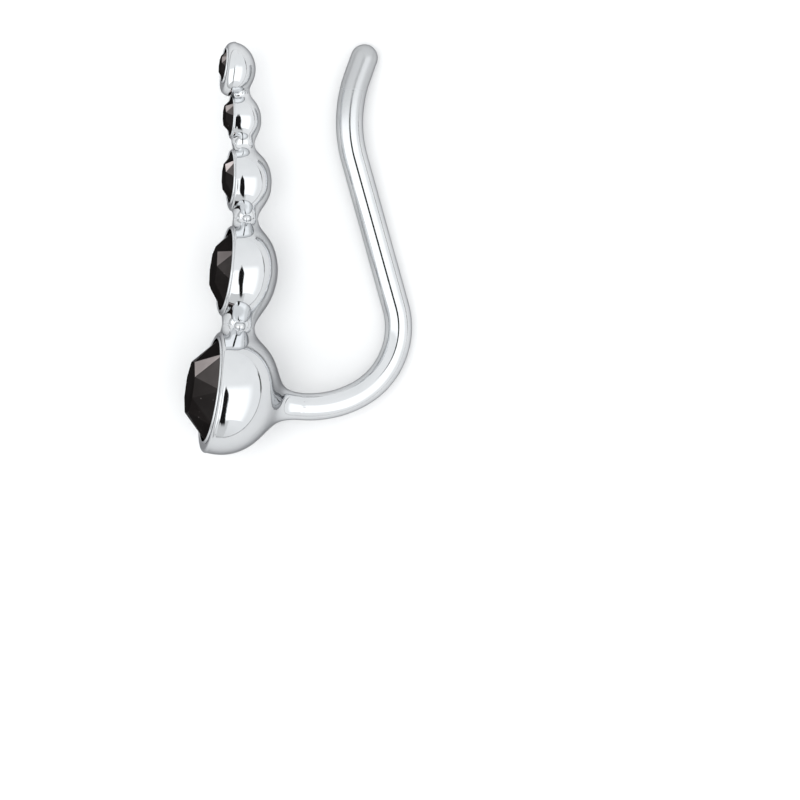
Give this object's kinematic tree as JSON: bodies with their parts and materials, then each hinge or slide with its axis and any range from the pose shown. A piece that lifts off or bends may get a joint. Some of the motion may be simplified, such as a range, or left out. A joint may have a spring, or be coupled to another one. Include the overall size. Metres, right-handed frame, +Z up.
{
  "type": "ear climber",
  "caption": "Ear climber earring: a straight row of graded round bezels with faceted black stones, cast with a curved wire hook that goes up behind the ear. Lies on its side.",
  "frame": {"origin": "on the floor, below the middle of the ground that the lying climber covers", "axes": "+Y runs up the row to the smallest stone, +X from the stones to the hook, +Z up from the floor. The row and the hook lie in one plane, which is rolled 16 degrees from level"},
  "size_m": [0.0092, 0.0168, 0.0052],
  "materials": {
    "silver": "mirror polish",
    "black_stone": "polished, opaque"
  },
  "bodies": {
    "root": {"setting_and_hook": "silver", "stone_1": "black_stone", "stone_2": "black_stone", "stone_3": "black_stone", "stone_4": "black_stone", "stone_5": "black_stone"}
  },
  "joints": []
}
